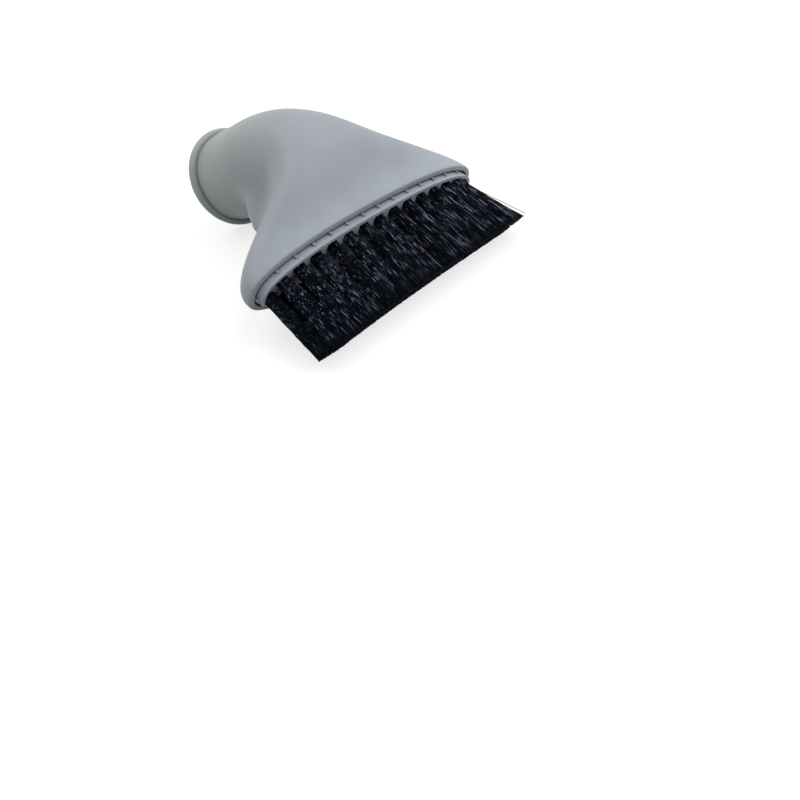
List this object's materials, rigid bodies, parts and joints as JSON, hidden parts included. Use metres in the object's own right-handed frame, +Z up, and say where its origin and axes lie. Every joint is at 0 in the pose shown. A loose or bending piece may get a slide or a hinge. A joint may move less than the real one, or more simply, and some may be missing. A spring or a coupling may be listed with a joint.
{
  "type": "vacuum brush nozzle",
  "caption": "Fan-shaped vacuum brush nozzle with a round hose socket on an angled neck, an oval mouth and a ring of bristle tufts around its suction slot.",
  "frame": {"origin": "middle of the bounding box's underside, on the table the nozzle lies on", "axes": "+X across the mouth, +Y from the bristle tips back to the socket, +Z up; the nozzle lies on its collar and its lower bristle tips"},
  "size_m": [0.12, 0.127, 0.0556],
  "materials": {
    "body_grey": "satin moulded plastic, cool grey",
    "insert_grey": "satin moulded plastic, bluish grey",
    "bristle_black": "black nylon bristles",
    "anchor_steel": "plain flat wire"
  },
  "bodies": {
    "root": {"nozzle_body": "body_grey", "brush_insert": "insert_grey", "tuft_anchors": "anchor_steel", "bristle_tuft_01": "bristle_black", "bristle_tuft_02": "bristle_black", "bristle_tuft_03": "bristle_black", "bristle_tuft_04": "bristle_black", "bristle_tuft_05": "bristle_black", "bristle_tuft_06": "bristle_black", "bristle_tuft_07": "bristle_black", "bristle_tuft_08": "bristle_black", "bristle_tuft_09": "bristle_black", "bristle_tuft_10": "bristle_black", "bristle_tuft_11": "bristle_black", "bristle_tuft_12": "bristle_black", "bristle_tuft_13": "bristle_black", "bristle_tuft_14": "bristle_black", "bristle_tuft_15": "bristle_black", "bristle_tuft_16": "bristle_black", "bristle_tuft_17": "bristle_black", "bristle_tuft_18": "bristle_black", "bristle_tuft_19": "bristle_black", "bristle_tuft_20": "bristle_black", "bristle_tuft_21": "bristle_black", "bristle_tuft_22": "bristle_black", "bristle_tuft_23": "bristle_black", "bristle_tuft_24": "bristle_black", "bristle_tuft_25": "bristle_black", "bristle_tuft_26": "bristle_black", "bristle_tuft_27": "bristle_black", "bristle_tuft_28": "bristle_black"}
  },
  "joints": []
}
